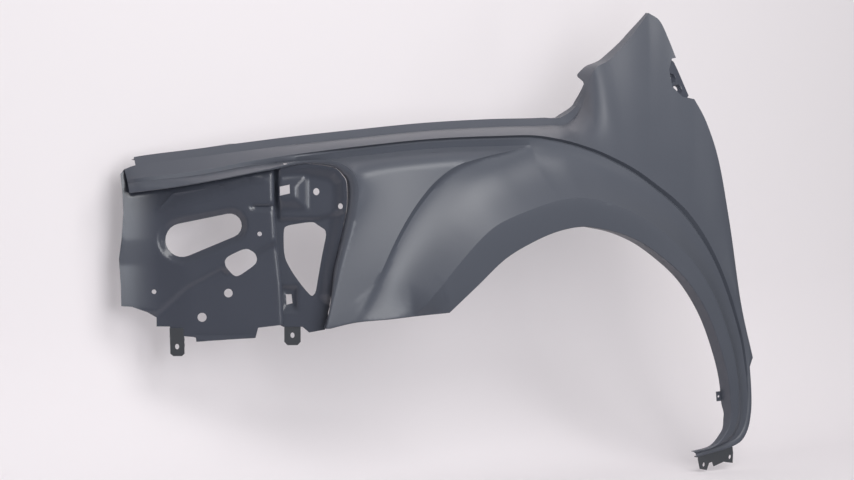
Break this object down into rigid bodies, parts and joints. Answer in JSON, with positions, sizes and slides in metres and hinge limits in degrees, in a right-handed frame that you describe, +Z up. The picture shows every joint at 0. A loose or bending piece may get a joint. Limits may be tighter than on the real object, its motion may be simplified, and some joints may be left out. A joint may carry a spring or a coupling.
{
  "type": "car fender",
  "caption": "Left front car fender: crowned sheet with flared wheel arch, hood flange, rear spike and foot, with pressed headlamp mounting panels and slotted bumper tabs.",
  "frame": {"origin": "top face of the middle bolt pad of the hood rail, beside its bolt hole", "axes": "+X towards the rear of the car, -Y to the outer side of the car, +Z up as mounted"},
  "size_m": [1.3368, 0.446, 0.966],
  "materials": {
    "skin_primer": "satin grey-blue dip primer",
    "panel_primer": "glossy near-black dip primer",
    "bracket_primer": "satin dark dip primer"
  },
  "bodies": {
    "root": {"outer_skin": "skin_primer", "headlamp_front_panel": "panel_primer", "headlamp_rear_panel": "panel_primer", "hinge_pocket": "panel_primer", "bumper_tab_front": "bracket_primer", "bumper_tab_rear": "bracket_primer", "rear_foot_bracket": "bracket_primer"}
  },
  "joints": []
}
